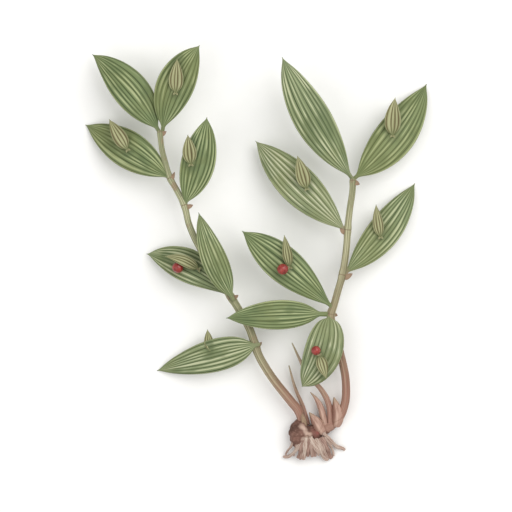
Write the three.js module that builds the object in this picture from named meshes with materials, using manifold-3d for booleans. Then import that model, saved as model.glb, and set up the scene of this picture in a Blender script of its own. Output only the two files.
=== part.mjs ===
// A spineless butcher's broom plant, lifted with its rhizome and laid flat on a surface.
// Millimetres, +Z up. The origin is the bottom centre of the whole plant's box, +Y runs from
// the rhizome towards the tips, and z = 0 is the surface that the plant lies on.
// The leaf-like blades are cladodes: flattened side stems that do the work of leaves. Some
// carry a small leaf on their face, called the tongue here, with a berry at its foot.

import * as THREE from 'three';
import { mergeVertices } from 'three/addons/utils/BufferGeometryUtils.js';
import Module from 'manifold-3d';

const wasm = await Module();
wasm.setup();

// Driving dimensions
const GAP = 0.3; // left between pieces that meet
const BLADE_RIBS = 8; // ribs across a blade, its two margins counted as one
const BLADE_ROWS = 8;
const BLADE_THICKNESS = 1.1;
const MARGIN_THICKNESS = 0.8;
const STALK_WIDTH = 3.6;
const STALK_THICKNESS = 2.4;
const RIB_HEIGHT = 0.6;
const TIP_WIDTH = 0.9;
const FULLNESS = 0.78; // below 1 the outline is fuller than a sine
const TIP_POINT = 14; // the higher, the shorter the drawn-out point at the tip
const FOOT_POINT = 20; // likewise at the foot
const TONGUE_RIBS = 3;
const TONGUE_ROWS = 5;
const TONGUE_THICKNESS = 0.9;
const TONGUE_RIB_HEIGHT = 0.5;
const STEM_SIDES = 12;
const STEM_STEP = 10; // between the rings that a stem is drawn through
const STEM_RIDGES = 6;
const STEM_RIDGE_SHARE = 0.08; // ridge height as a share of the stem's radius
const NODE_SWELLING = 0.2; // how much a stem thickens where blades spring from it
const NODE_REACH = 4; // how far along the stem that swelling goes
const ROOT_RADII = [2.6, 1.2]; // where a root leaves the rhizome, and at its tip

const UP = new THREE.Vector3(0, 0, 1);

const COLOURS = {
  blade: 0x8ca066,
  stem: 0x9a8a66,
  shoot: 0xa88c6e,
  berry: 0xb03a3c,
  rhizome: 0x7d5c50,
};
const ROUGHNESS = { blade: 0.55, stem: 0.6, shoot: 0.6, berry: 0.25, rhizome: 0.85 };

// Each stem runs through its points [x, y, z] from foot to top, and its radii are those at
// the foot and at the top. Its nodes are where blades spring from it. Its scales are the
// papery bracts at those nodes, from foot to tip.
const STEMS = {
  stem_left: {
    radii: [3.7, 2.2],
    points: [
      [39, -147, 9.5], [36, -133, 12], [30.5, -126, 13], [16.4, -108.5, 14.5], [8.6, -97, 15.2],
      [2, -85, 16], [-5.3, -64, 18], [-14.5, -47, 20], [-21, -36.5, 21], [-35, -15, 22.5],
      [-50, 10, 24], [-57, 26, 25], [-61, 42, 25.5], [-67.5, 55, 26], [-73, 65, 26],
      [-77, 78, 26], [-80, 90, 26], [-81.6, 105.8, 26],
    ],
    nodes: [
      [36, -133, 12], [-0.2, -77.5, 16.7], [-21, -36.5, 21], [-61, 42, 25.5], [-73, 65, 26],
      [-81.5, 104, 26],
    ],
    scales: [
      { foot: [-60, 39.5, 26], tip: [-53.4, 42, 28] },
      { foot: [-81, 101, 25], tip: [-75, 104, 28] },
    ],
  },
  stem_right: {
    radii: [3.4, 2.5],
    points: [
      [70.2, -141.2, 10], [72.2, -137.5, 10.6], [74.2, -133, 11.3], [76.4, -124, 12.6],
      [76.8, -115, 13.3], [75.8, -102, 14.2], [70, -77, 15.5], [66.5, -64, 16.5],
      [63.7, -52, 18], [66.4, -43, 19], [69.9, -30, 20.5], [73.6, -17, 22], [76.6, 4, 23.5],
      [77.8, 21, 24.5], [79.6, 38, 25], [81.9, 54, 25], [82.5, 64.6, 25],
    ],
    nodes: [[63.6, -50.5, 18.2], [73.6, -17, 22], [77.8, 21, 24.5], [82.4, 63, 25]],
    scales: [
      { foot: [83, 61.5, 25.5], tip: [88.6, 59, 28] },
      { foot: [74.5, -20.5, 22.4], tip: [82, -16.2, 23] },
    ],
  },
};

// Bare young shoots, each a pointed rod beside the leafy stems
const SHOOTS = {
  shoot_tall: {
    radii: [2.8, 0.5],
    points: [
      [64.1, -145.5, 7], [63.2, -133, 9], [60.8, -124, 10], [56, -115.8, 10.6], [51, -110, 11],
      [44, -102.5, 11.5], [37.5, -90, 12], [30.5, -75, 13],
    ],
  },
  shoot_short: {
    radii: [2, 0.5],
    points: [[44.5, -146, 4.5], [40.5, -131, 4.2], [33.5, -114, 7], [28, -94.5, 9]],
  },
};

// A blade runs from its foot on the stem to its tip. Its numbers are its width, widest (where
// it is widest, as a share of its length), bow (how far its middle swings to the left of the
// line from foot to tip), rise (how high its middle stands over that line), cup (how far the
// margins turn up, as a share of the half width), roll (its tilt at foot and tip, in degrees,
// left margin up), and wave (how far the margins ripple). Some have a fullness, a foot point or
// a stalk width of their own, or a bare neck, the share of their length that is stalk. A tongue
// has its foot's place along the blade, as a share, and across it, as a share of the half
// width, its tip, rise and width, and some a bow. A berry has its diameter and its place along
// and across the blade. Root is how far a blade's stalk starts before its foot.
const BLADES = [
  {
    name: 'cladode_left_1', foot: [-83.5, 106.5, 26.5], tip: [-139.5, 170.5, 16],
    width: 31, widest: 0.46, bow: -4.5, rise: 11, cup: -0.14, roll: [8, -10], wave: 0.8,
  },
  {
    name: 'cladode_left_2', foot: [-79, 107, 26.5], tip: [-47.5, 176.5, 44],
    width: 32, widest: 0.5, bow: 5, rise: 4, cup: 0.16, roll: [-6, 8], wave: 0.9,
    tongue: { along: 0.414, across: -0.17, tip: [-66.5, 165, 46], rise: 2, width: 12.5 },
  },
  {
    name: 'cladode_left_3', foot: [-74, 65.5, 26.5], tip: [-146, 111, 0.4],
    width: 32, widest: 0.5, bow: -1.5, rise: 8, cup: -0.14, roll: [-6, 0], wave: 0.9,
    tongue: { along: 0.5, across: 0.02, tip: [-125, 115, 20], rise: 3, width: 12.5 },
  },
  {
    name: 'cladode_left_4', foot: [-60, 43.5, 26.5], tip: [-41.5, 116, 38],
    width: 29, widest: 0.48, bow: -2.4, rise: 5, cup: 0.14, roll: [4, -8], wave: 0.8,
    tongue: { along: 0.442, across: 0.4, tip: [-57.6, 101, 43], rise: 2, width: 12 },
  },
  {
    name: 'cladode_left_5', foot: [-20.5, -36, 27], tip: [-48.5, 35.5, 38],
    width: 22, widest: 0.42, bow: 2.2, rise: 7, cup: -0.12, roll: [0, 8], wave: 0.8, root: 2.3,
  },
  {
    name: 'cladode_left_6', foot: [-23.5, -34.5, 20.5], tip: [-93.5, 0.5, 5],
    width: 28.8, widest: 0.54, bow: -7.2, rise: 7, cup: -0.1, roll: [4, 6], wave: 0.8,
    tongue: { along: 0.416, across: -0.1, tip: [-77.4, -1.5, 24], rise: 5, width: 9.5, bow: -2.4 },
    berry: { diameter: 9.5, along: 0.61, across: 0.4 },
  },
  {
    name: 'cladode_left_7', foot: [0.4, -77, 21.5], tip: [-84.8, -99.5, 0.4],
    width: 28, widest: 0.4, bow: -0.5, rise: 6, cup: -0.14, roll: [0, 4], wave: 1,
    tongue: { along: 0.45, across: -0.35, tip: [-41.5, -64, 12], rise: 0.5, width: 8 },
  },
  {
    name: 'cladode_right_1', foot: [80.5, 66, 26], tip: [22, 167, 38],
    width: 32, widest: 0.5, bow: 4, rise: 10, cup: -0.14, roll: [-6, 8], wave: 1,
  },
  {
    name: 'cladode_right_2', foot: [84.5, 65.5, 24.5], tip: [146, 146, 0.4],
    width: 34, widest: 0.48, bow: -5.6, rise: 9, cup: -0.14, roll: [0, 2], wave: 1,
    tongue: { along: 0.47, across: 0.125, tip: [118, 133, 29], rise: 3, width: 14, bow: 0.9 },
  },
  {
    name: 'cladode_right_3', foot: [76.3, -15.2, 22], tip: [136, 61, 0.4],
    width: 28, widest: 0.5, bow: -4.2, rise: 7, cup: -0.12, roll: [0, 0], wave: 0.8,
    tongue: { along: 0.434, across: -0.035, tip: [102, 42.5, 24], rise: 2, width: 9.2, bow: 0.6 },
  },
  {
    name: 'cladode_right_4', foot: [64, -44, 20.5], tip: [-12, 20, 30],
    width: 31, widest: 0.55, bow: -1, rise: 8, cup: -0.12, roll: [4, -6], wave: 0.8,
    tongue: { along: 0.49, across: -0.105, tip: [23.8, 16.5, 42], rise: 2, width: 8.5 },
    berry: { diameter: 9.5, along: 0.528, across: 0.215 },
  },
  {
    name: 'cladode_right_5', foot: [62, -50.7, 18.5], tip: [-25.5, -54, 28.5],
    width: 25, widest: 0.44, neck: 0.07, stalk: 4.4, bow: -1.2, rise: 6, cup: -0.1, roll: [0, 0],
    wave: 0.6,
  },
  {
    name: 'cladode_right_6', foot: [62, -53.8, 20.5], tip: [39, -112.5, 20],
    width: 32.5, widest: 0.42, fullness: 0.5, footPoint: 80, bow: 6, rise: 9, cup: -0.12,
    roll: [-8, 0], wave: 0.8,
    tongue: { along: 0.52, across: -0.12, tip: [59.5, -105, 33], rise: 2, width: 10 },
    berry: { diameter: 8, along: 0.47, across: -0.42 },
  },
  {
    name: 'cladode_right_7', foot: [75.6, 20.8, 24.5], tip: [-0.5, 97, 10],
    width: 33, widest: 0.52, bow: 1, rise: 10, cup: -0.12, roll: [0, 6], wave: 1,
    tongue: { along: 0.446, across: -0.165, tip: [35, 83.5, 36], rise: 2, width: 12.5 },
  },
];

// The rhizome: lumps along short paths, each with its greatest radius
const RHIZOME_LUMPS = [
  { points: [[38.5, -141, 9], [37, -151, 8], [37, -165, 6.6]], radius: 8.6 },
  { points: [[33, -162, 6.4], [45, -164, 6], [58, -162, 5.6]], radius: 7.2 },
  { points: [[43, -157, 6.4], [50, -153.5, 6.4], [56, -152, 6.2]], radius: 6.6 },
  { points: [[52, -153.5, 6], [60, -148.5, 6.2], [69, -144, 7]], radius: 4.4 },
];
// Scales and buds that stand on the rhizome, pointed rods from foot to tip
const RHIZOME_BUDS = [
  { points: [[57.5, -153.5, 8], [52.5, -144.5, 9.5], [45.2, -134.5, 9.5]], radius: 4.4 },
  { points: [[59.9, -149, 7], [56.3, -134, 7.5], [52.7, -125.2, 8], [46.1, -117.2, 8]], radius: 2.8 },
  { points: [[68.4, -147, 7.5], [70, -137.5, 10.2], [66.4, -121.5, 11.5]], radius: 4.8 },
];
// Roots, each from inside the rhizome through a bend to its torn tip
const ROOTS = [
  [[37, -156, 12], [30.5, -167, 8.5], [22.5, -173, 3]],
  [[38.5, -156, 13.5], [35.5, -167, 10], [36.5, -176, 4]],
  [[41, -156, 13.5], [41.5, -167, 10], [41.5, -175, 4.5]],
  [[43.5, -156, 12.5], [47.5, -166, 9.5], [48, -174, 4]],
  [[45.5, -155, 12], [52, -164, 9.5], [55, -172.5, 4]],
  [[48, -155, 11], [57, -166, 8], [63, -176, 3.5]],
  [[56, -151, 9.5], [66, -159, 6.5], [76, -167.5, 3]],
];

// A closed slab: an upper and a lower sheet with the same rows and columns, split into
// triangles alike and joined round the rim. pointAt(s, u, face) gives a corner, with s from
// 0 to 1 along the slab, u from -1 to 1 across it, and face 1 above and -1 below.
function slabGeometry(rows, columns, pointAt) {
  const positions = [];
  for (const face of [1, -1]) {
    for (let i = 0; i <= rows; i += 1) {
      for (let j = 0; j <= columns; j += 1) {
        positions.push(...pointAt(i / rows, (2 * j) / columns - 1, face).toArray());
      }
    }
  }
  const across = columns + 1;
  const lower = (rows + 1) * across;
  const indices = [];
  for (let i = 0; i < rows; i += 1) {
    for (let j = 0; j < columns; j += 1) {
      const a = i * across + j;
      const b = a + 1;
      const c = a + across;
      const d = c + 1;
      indices.push(a, c, d, a, d, b);
      indices.push(lower + a, lower + d, lower + c, lower + a, lower + b, lower + d);
    }
  }
  const rim = [];
  for (let i = 0; i < rows; i += 1) rim.push(i * across);
  for (let j = 0; j < columns; j += 1) rim.push(rows * across + j);
  for (let i = rows; i > 0; i -= 1) rim.push(i * across + columns);
  for (let j = columns; j > 0; j -= 1) rim.push(j);
  rim.forEach((from, index) => {
    const to = rim[(index + 1) % rim.length];
    indices.push(lower + from, lower + to, to, lower + from, to, from);
  });
  return indexedGeometry(positions, indices);
}

// A closed rod along a curve, with flat ends that run on past the curve by overrun.
// radiusAt(s, angle, centre) gives its radius.
function rodGeometry(curve, steps, sides, radiusAt, overrun = 0) {
  const frames = curve.computeFrenetFrames(steps, false);
  const ringCentre = (i) => {
    const beyond = overrun * ((i === steps) - (i === 0));
    return curve.getPointAt(i / steps).addScaledVector(frames.tangents[i], beyond);
  };
  const positions = [];
  const indices = [];
  for (let i = 0; i <= steps; i += 1) {
    const centre = ringCentre(i);
    for (let k = 0; k < sides; k += 1) {
      const angle = (2 * Math.PI * k) / sides;
      const radius = radiusAt(i / steps, angle, centre);
      const corner = centre.clone()
        .addScaledVector(frames.normals[i], radius * Math.cos(angle))
        .addScaledVector(frames.binormals[i], radius * Math.sin(angle));
      positions.push(...corner.toArray());
    }
  }
  for (let i = 0; i < steps; i += 1) {
    for (let k = 0; k < sides; k += 1) {
      const a = i * sides + k;
      const b = i * sides + ((k + 1) % sides);
      indices.push(a, b, b + sides, a, b + sides, a + sides);
    }
  }
  const foot = positions.length / 3;
  positions.push(...ringCentre(0).toArray(), ...ringCentre(steps).toArray());
  for (let k = 0; k < sides; k += 1) {
    const next = (k + 1) % sides;
    indices.push(foot, next, k);
    indices.push(foot + 1, steps * sides + k, steps * sides + next);
  }
  return indexedGeometry(positions, indices);
}

function indexedGeometry(positions, indices) {
  const geometry = new THREE.BufferGeometry();
  geometry.setAttribute('position', new THREE.Float32BufferAttribute(positions, 3));
  geometry.setIndex(indices);
  return geometry;
}

function toSolid(geometry) {
  const plain = geometry.clone();
  plain.deleteAttribute('normal');
  plain.deleteAttribute('uv');
  const merged = mergeVertices(plain);
  return new wasm.Manifold(new wasm.Mesh({
    numProp: 3,
    vertProperties: new Float32Array(merged.attributes.position.array),
    triVerts: Uint32Array.from(merged.index.array),
  }));
}

function toGeometry(solid) {
  const mesh = solid.getMesh();
  const geometry = new THREE.BufferGeometry();
  geometry.setAttribute('position', new THREE.BufferAttribute(mesh.vertProperties, 3));
  geometry.setIndex(new THREE.BufferAttribute(mesh.triVerts, 1));
  geometry.computeVertexNormals();
  return geometry;
}

// Cutting can leave crumbs: the piece itself is the one with the most volume
function largestBody(solid) {
  const bodies = solid.decompose();
  return bodies.reduce((best, body) => (body.volume() > best.volume() ? body : best));
}

function curveThrough(points) {
  return new THREE.CatmullRomCurve3(points.map((point) => new THREE.Vector3(...point)));
}

// The midline of a blade: its middle is swung left by bow and lifted by rise
function midline(foot, tip, bow, rise) {
  const from = new THREE.Vector3(...foot);
  const to = new THREE.Vector3(...tip);
  const left = UP.clone().cross(to.clone().sub(from)).normalize();
  const pull = from.clone().lerp(to, 0.5).addScaledVector(left, 2 * bow).addScaledVector(UP, 2 * rise);
  return new THREE.QuadraticBezierCurve3(from, pull, to);
}

// The half width of a pointed oval: a power of the sine of the length, turned so that it
// peaks at widest, with both ends drawn out to points, over a stalk that thins to the tip
function halfWidth(s, spec) {
  const { width, widest, neck = 0, fullness = FULLNESS } = spec;
  const { footPoint = FOOT_POINT, stalk = STALK_WIDTH } = spec;
  const along = Math.max(s - neck, 0) / (1 - neck);
  const turn = along ** (Math.log(0.5) / Math.log(widest));
  const oval = Math.max(Math.sin(Math.PI * turn), 0) ** fullness;
  const ends = (1 - along ** TIP_POINT) * (1 - (1 - along) ** footPoint);
  return Math.hypot((width / 2) * oval * ends, THREE.MathUtils.lerp(stalk, TIP_WIDTH, s) / 2);
}

// The middle surface of a blade at s along and u across: its place and its upward normal
function bladeSurface(spec, s, u) {
  const curve = midline(spec.foot, spec.tip, spec.bow, spec.rise);
  const forward = curve.getTangent(Math.max(s, 0));
  const left = UP.clone().cross(forward).normalize();
  const normal = forward.clone().cross(left);
  const roll = THREE.MathUtils.degToRad(THREE.MathUtils.lerp(spec.roll[0], spec.roll[1], s));
  left.applyAxisAngle(forward, roll);
  normal.applyAxisAngle(forward, roll);
  const half = halfWidth(s, spec);
  const share = half / (spec.width / 2); // ribs and ripples fade as the blade narrows
  const ripple = spec.wave * Math.sin(11 * s + (u > 0 ? 1.1 : 2.9));
  const rib = 0.5 * spec.ribHeight * Math.cos(Math.PI * spec.ribs * u);
  const lift = (spec.cup * half + ripple * share) * u * u + rib * share;
  const place = curve.getPoint(s).addScaledVector(left, u * half).addScaledVector(normal, lift);
  return { place, normal };
}

// A blade is thick and round at its stalk, and thins out to its margins
function bladeThickness(spec, s, u) {
  const flat = THREE.MathUtils.lerp(spec.thickness, MARGIN_THICKNESS, Math.abs(u));
  const round = spec.footThickness * Math.sqrt(1 - 0.85 * u * u);
  return THREE.MathUtils.lerp(flat, round, Math.min(1 - s, 1) ** 14);
}

// No corner goes below the surface that the plant lies on: a blade is pressed flat there. A
// blade with a root starts that far before its foot, so that its stalk reaches its stem.
function bladeGeometry(spec) {
  const length = new THREE.Vector3(...spec.foot).distanceTo(new THREE.Vector3(...spec.tip));
  const start = -(spec.root ?? 0) / length;
  return slabGeometry(spec.rows, 2 * spec.ribs, (along, u, face) => {
    const s = THREE.MathUtils.lerp(start, 1, along);
    const { place, normal } = bladeSurface(spec, s, u);
    const corner = place.addScaledVector(normal, 0.5 * face * bladeThickness(spec, s, u));
    corner.z = Math.max(corner.z, 0);
    return corner;
  });
}

function cladode(spec) {
  return {
    ribs: BLADE_RIBS,
    rows: BLADE_ROWS,
    ribHeight: RIB_HEIGHT,
    thickness: BLADE_THICKNESS,
    footThickness: STALK_THICKNESS,
    ...spec,
  };
}

// The tongue springs from the middle of the blade's thickness, so that the two are one body
function tongueOf(blade) {
  const { along, across, tip, rise, width, bow = 0 } = blade.tongue;
  const { place } = bladeSurface(blade, along, across);
  return {
    foot: place.toArray(),
    tip,
    width,
    widest: 0.42,
    stalk: 0.4 * width,
    bow,
    rise,
    cup: 0.2,
    roll: [0, 0],
    wave: 0.3,
    ribs: TONGUE_RIBS,
    rows: TONGUE_ROWS,
    ribHeight: TONGUE_RIB_HEIGHT,
    thickness: TONGUE_THICKNESS,
    footThickness: BLADE_THICKNESS,
  };
}

function scaleSpec({ foot, tip }) {
  return {
    foot,
    tip,
    width: 4.6,
    widest: 0.4,
    stalk: 2.6,
    bow: 0,
    rise: 0.8,
    cup: 0.2,
    roll: [0, 0],
    wave: 0,
    ribs: 2,
    rows: 4,
    ribHeight: 0.2,
    thickness: 0.8,
    footThickness: 1,
  };
}

// A stem is a ridged rod that thins upwards and swells at its nodes
function stemSolid({ points, radii, nodes }, allowance) {
  const curve = curveThrough(points);
  const knots = nodes.map((node) => new THREE.Vector3(...node));
  const steps = Math.round(curve.getLength() / STEM_STEP);
  const radiusAt = (s, angle, centre) => {
    const swelling = knots.reduce((sum, knot) => {
      return sum + Math.exp(-((centre.distanceTo(knot) / NODE_REACH) ** 2));
    }, 0);
    const ridge = STEM_RIDGE_SHARE * Math.cos(STEM_RIDGES * angle);
    const plain = THREE.MathUtils.lerp(radii[0], radii[1], s);
    return plain * (1 + ridge + NODE_SWELLING * swelling) + allowance;
  };
  return toSolid(rodGeometry(curve, steps, STEM_SIDES, radiusAt, allowance));
}

// A shoot is a smooth rod that keeps its thickness for most of its length, then comes to a
// point
function shootSolid({ points, radii }, allowance) {
  const curve = curveThrough(points);
  const steps = Math.round(curve.getLength() / 7);
  const radiusAt = (s) => THREE.MathUtils.lerp(radii[0], radii[1], s ** 1.6) + allowance;
  return toSolid(rodGeometry(curve, steps, 8, radiusAt, allowance));
}

// A lump of rhizome is round at both ends and ringed by old scale scars
function lumpSolid({ points, radius }) {
  const radiusAt = (s, angle) => {
    const round = Math.sin(Math.PI * (0.06 + 0.88 * s)) ** 0.45;
    const rings = 1 + 0.05 * Math.cos(26 * s) + 0.04 * Math.cos(3 * angle + 9 * s);
    return radius * round * rings;
  };
  return toSolid(rodGeometry(curveThrough(points), 8, 11, radiusAt));
}

// A bud is fattest a third of the way up
function budSolid({ points, radius }) {
  const radiusAt = (s) => Math.max(radius * Math.sin(Math.PI * (0.2 + 0.8 * s)), 0.4);
  return toSolid(rodGeometry(curveThrough(points), 6, 8, radiusAt));
}

function rootSolid(points, index) {
  const radiusAt = (s) => {
    const knobs = 1 + 0.12 * Math.sin(17 * s + 2 * index);
    return THREE.MathUtils.lerp(ROOT_RADII[0], ROOT_RADII[1], s) * knobs;
  };
  return toSolid(rodGeometry(curveThrough(points), 5, 7, radiusAt));
}

function rhizomeSolid(neighbours) {
  const parts = [
    ...RHIZOME_LUMPS.map(lumpSolid),
    ...RHIZOME_BUDS.map(budSolid),
    ...ROOTS.map(rootSolid),
  ];
  let whole = parts.reduce((sum, part) => sum.add(part));
  for (const neighbour of neighbours) whole = whole.subtract(neighbour);
  const below = new THREE.BoxGeometry(400, 400, 20).translate(0, -150, -10); // under z = 0
  return largestBody(whole.subtract(toSolid(below)));
}

// A berry rests in the angle between the blade's face and the tongue
function berryGeometry(blade) {
  const { diameter, along, across } = blade.berry;
  const { place, normal } = bladeSurface(blade, along, across);
  const lift = diameter / 2 + blade.thickness / 2 + RIB_HEIGHT / 2 + GAP;
  const middle = place.addScaledVector(normal, lift);
  return new THREE.SphereGeometry(diameter / 2, 14, 10).translate(...middle.toArray());
}

const plant = new THREE.Group();

function addPiece(name, kind, geometry) {
  const material = new THREE.MeshStandardMaterial({
    color: COLOURS[kind],
    roughness: ROUGHNESS[kind],
    metalness: 0,
  });
  const mesh = new THREE.Mesh(geometry, material);
  mesh.name = name;
  plant.add(mesh);
}

const roomForStems = Object.values(STEMS).map((stem) => stemSolid(stem, GAP));
const roomForShoots = Object.values(SHOOTS).map((shoot) => shootSolid(shoot, GAP));

addPiece('rhizome', 'rhizome', toGeometry(rhizomeSolid([...roomForStems, ...roomForShoots])));

for (const [name, stem] of Object.entries(STEMS)) {
  let solid = stemSolid(stem, 0);
  for (const scale of stem.scales) {
    solid = solid.add(toSolid(bladeGeometry(scaleSpec(scale))));
  }
  addPiece(name, 'stem', toGeometry(solid));
}

for (const [name, shoot] of Object.entries(SHOOTS)) {
  addPiece(name, 'shoot', toGeometry(shootSolid(shoot, 0)));
}

for (const blade of BLADES.map(cladode)) {
  let solid = toSolid(bladeGeometry(blade));
  if (blade.tongue) solid = solid.add(toSolid(bladeGeometry(tongueOf(blade))));
  for (const room of roomForStems) solid = solid.subtract(room);
  addPiece(blade.name, 'blade', toGeometry(largestBody(solid)));
  if (blade.berry) {
    addPiece(blade.name.replace('cladode', 'berry'), 'berry', berryGeometry(blade));
  }
}

const box = new THREE.Box3().setFromObject(plant);
const centre = box.getCenter(new THREE.Vector3());
plant.position.set(-centre.x, -centre.y, -box.min.z);

export default plant;
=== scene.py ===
# %% [markdown]
# # A spineless butcher's broom plant, laid flat
#
# This lesson dresses a whole plant that was lifted with its rhizome and laid on a pale table.
# Its leaf-like blades are cladodes, flattened side stems that do the work of leaves. Some carry
# a small pale leaf on their face, the tongue, and a red berry at the tongue's foot. The plain
# solids already have the right places and sizes, so every piece here is a finer skin that
# follows the same formulas as its solid.

# %% Load the plant's solids
import math

import bpy
import numpy as np
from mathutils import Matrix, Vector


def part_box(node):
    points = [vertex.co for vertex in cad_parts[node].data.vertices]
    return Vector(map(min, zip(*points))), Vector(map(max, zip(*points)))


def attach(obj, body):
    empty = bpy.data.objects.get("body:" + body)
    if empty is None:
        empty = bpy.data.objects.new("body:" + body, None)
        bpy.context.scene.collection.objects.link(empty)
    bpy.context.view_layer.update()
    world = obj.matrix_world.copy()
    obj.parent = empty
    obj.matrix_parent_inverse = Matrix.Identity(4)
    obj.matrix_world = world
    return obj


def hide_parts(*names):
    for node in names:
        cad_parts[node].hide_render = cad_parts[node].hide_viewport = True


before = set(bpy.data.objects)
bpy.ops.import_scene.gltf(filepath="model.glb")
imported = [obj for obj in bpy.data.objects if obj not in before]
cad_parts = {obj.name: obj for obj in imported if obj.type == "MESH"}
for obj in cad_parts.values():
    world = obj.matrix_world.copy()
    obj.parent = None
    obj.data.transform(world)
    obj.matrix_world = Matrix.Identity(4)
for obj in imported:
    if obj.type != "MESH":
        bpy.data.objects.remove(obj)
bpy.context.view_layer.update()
MM = 0.001  # the numbers below are millimetres, and Blender's are metres
UP = np.array([0.0, 0.0, 1.0])
print("solids:", len(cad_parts))

# %% [markdown]
# ## The camera first
#
# The plant is seen from straight above. A long lens from three metres up keeps the blades that
# arch towards the camera from looking larger than those that lie on the table. It could be an
# orthographic camera, but a real one has perspective.

# %% Camera
VIEW_WIDTH = 435.2 * MM  # what the square picture takes in, at the height of the blades
VIEW_HEIGHT = 3.0
BLADE_LEVEL = 22 * MM
VIEW_CENTRE_Y = -1.28 * MM

lens = bpy.data.cameras.new("plant_camera")
lens.sensor_width = 36
lens.lens = lens.sensor_width * (VIEW_HEIGHT - BLADE_LEVEL) / VIEW_WIDTH
lens.clip_end = 20
camera = bpy.data.objects.new("plant_camera", lens)
camera.location = (0, VIEW_CENTRE_Y, VIEW_HEIGHT)
bpy.context.scene.collection.objects.link(camera)
bpy.context.scene.camera = camera
print(f"lens {lens.lens:.0f} mm")

# %% [markdown]
# ## Curves and skins
#
# Everything on a plant is either a rod carried along a curve or a thin blade, and both can be
# one grid: rings of corners from foot to tip, where each ring goes once round. The last corner
# of a ring joins its first, and a single corner closes each end, so every skin is closed. The
# whole grid is worked out as arrays, which is quick and keeps each formula in one place.

# %% Curves and frames
ROD_SIDES = 48
ROUND = np.linspace(0, 2 * np.pi, ROD_SIDES, endpoint=False)  # the way to each of them
DENSE = 40  # places on each stretch of a curve, before they are spaced evenly


def unit(vectors):
    """The same directions, each of length 1."""
    return vectors / np.linalg.norm(vectors, axis=-1, keepdims=True)


def through(points, count):
    """A smooth curve through the points, as count places an equal distance apart.

    Each stretch is a cubic whose slope at a point is shared with the next stretch. The slopes
    use the square roots of the distances between the points, so that it never loops.
    """
    p = np.asarray(points, float)
    p = np.vstack([2 * p[0] - p[1], p, 2 * p[-1] - p[-2]])
    step = np.linalg.norm(np.diff(p, axis=0), axis=1)[:, None] ** 0.5
    a, b, c, d = p[:-3], p[1:-2], p[2:-1], p[3:]
    before, here, after = step[:-2], step[1:-1], step[2:]
    slope_b = ((b - a) / before - (c - a) / (before + here) + (c - b) / here) * here
    slope_c = ((c - b) / here - (d - b) / (here + after) + (d - c) / after) * here
    t = np.linspace(0, len(b), DENSE * len(b) + 1)
    i = np.minimum(t.astype(int), len(b) - 1)
    w = (t - i)[:, None]
    dense = (
        (2 * w**3 - 3 * w**2 + 1) * b[i]
        + (w**3 - 2 * w**2 + w) * slope_b[i]
        + (3 * w**2 - 2 * w**3) * c[i]
        + (w**3 - w**2) * slope_c[i]
    )
    travelled = np.r_[0, np.cumsum(np.linalg.norm(np.diff(dense, axis=0), axis=1))]
    even = np.linspace(0, travelled[-1], count)
    return np.stack([np.interp(even, travelled, dense[:, k]) for k in range(3)], axis=1)


def length_of(line):
    """The sum of the distances from each place to the next."""
    return float(np.linalg.norm(np.diff(line, axis=0), axis=1).sum())


def rod(line, radius, flatness=1.0):
    """Rings round a line: place = line + radius(s, angle) (cos angle left + flatness sin angle up).

    s is the share of the way along and angle goes round; left is level and across the line,
    and up stands on both. radius takes s as a column and angle as a row.
    """
    s, angle = np.linspace(0, 1, len(line))[:, None], ROUND[None, :]
    forward = unit(np.gradient(line, axis=0))
    left = unit(np.cross(UP, forward))
    up = np.cross(forward, left)
    r = (radius(s, angle) + 0 * s * angle)[..., None]
    sideways = np.cos(angle)[..., None] * left[:, None]
    upwards = flatness * np.sin(angle)[..., None] * up[:, None]
    return line[:, None] + r * (sideways + upwards)


print("a rod has", ROD_SIDES, "sides")

# %% [markdown]
# A grid of rings becomes a mesh with one quad between each pair of neighbours. The corner order
# makes every face point outwards. As proof, a piece whose signed volume is negative, because it
# is inside out, stops the script. The UV map says how far round and how far along a corner is.

# %% From rings to a piece
TOTALS = {"pieces": 0, "triangles": 0}


def pairs(first, second):
    """Each number of the first run with each of the second, as two flat arrays."""
    return (grid.ravel() for grid in np.meshgrid(first, second, indexing="ij"))


def skin(name, rings, across=None):
    """A closed mesh from rings of corners (rows, around, 3) in millimetres.

    across gives the first UV coordinate of each corner of a ring; without it, it is the share
    of the way round. The second is the share of the way from the first ring to the last.
    """
    rows, around = rings.shape[:2]
    i, j = pairs(np.arange(rows - 1), np.arange(around))
    beside = (j + 1) % around
    quads = np.stack([i * around + j, i * around + beside,
                      (i + 1) * around + beside, (i + 1) * around + j], axis=1)
    k = np.arange(around)
    after = (k + 1) % around
    foot, tip = rows * around, rows * around + 1
    last = (rows - 1) * around
    foot_fan = np.stack([np.full(around, foot), after, k], axis=1)
    tip_fan = np.stack([np.full(around, tip), last + k, last + after], axis=1)
    corners = np.vstack([rings.reshape(-1, 3), rings[0].mean(0), rings[-1].mean(0)]) * MM
    mesh = bpy.data.meshes.new(name)
    mesh.from_pydata(corners.tolist(), [], quads.tolist() + foot_fan.tolist() + tip_fan.tolist())
    share = np.arange(around + 1) / around if across is None else np.r_[across, across[0]]
    u_quads = share[np.stack([j, j + 1, j + 1, j], axis=1)]
    v_quads = np.stack([i, i, i + 1, i + 1], axis=1) / (rows - 1)
    u_fans = share[np.stack([k, k + 1, k], axis=1)]
    u = np.concatenate([u_quads.ravel(), u_fans.ravel(), u_fans.ravel()])
    v = np.concatenate([v_quads.ravel(), np.zeros(3 * around), np.ones(3 * around)])
    layer = mesh.uv_layers.new(name="UVMap")
    layer.data.foreach_set("uv", np.stack([u, v], axis=1).ravel())
    mesh.shade_smooth()
    return mesh


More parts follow.
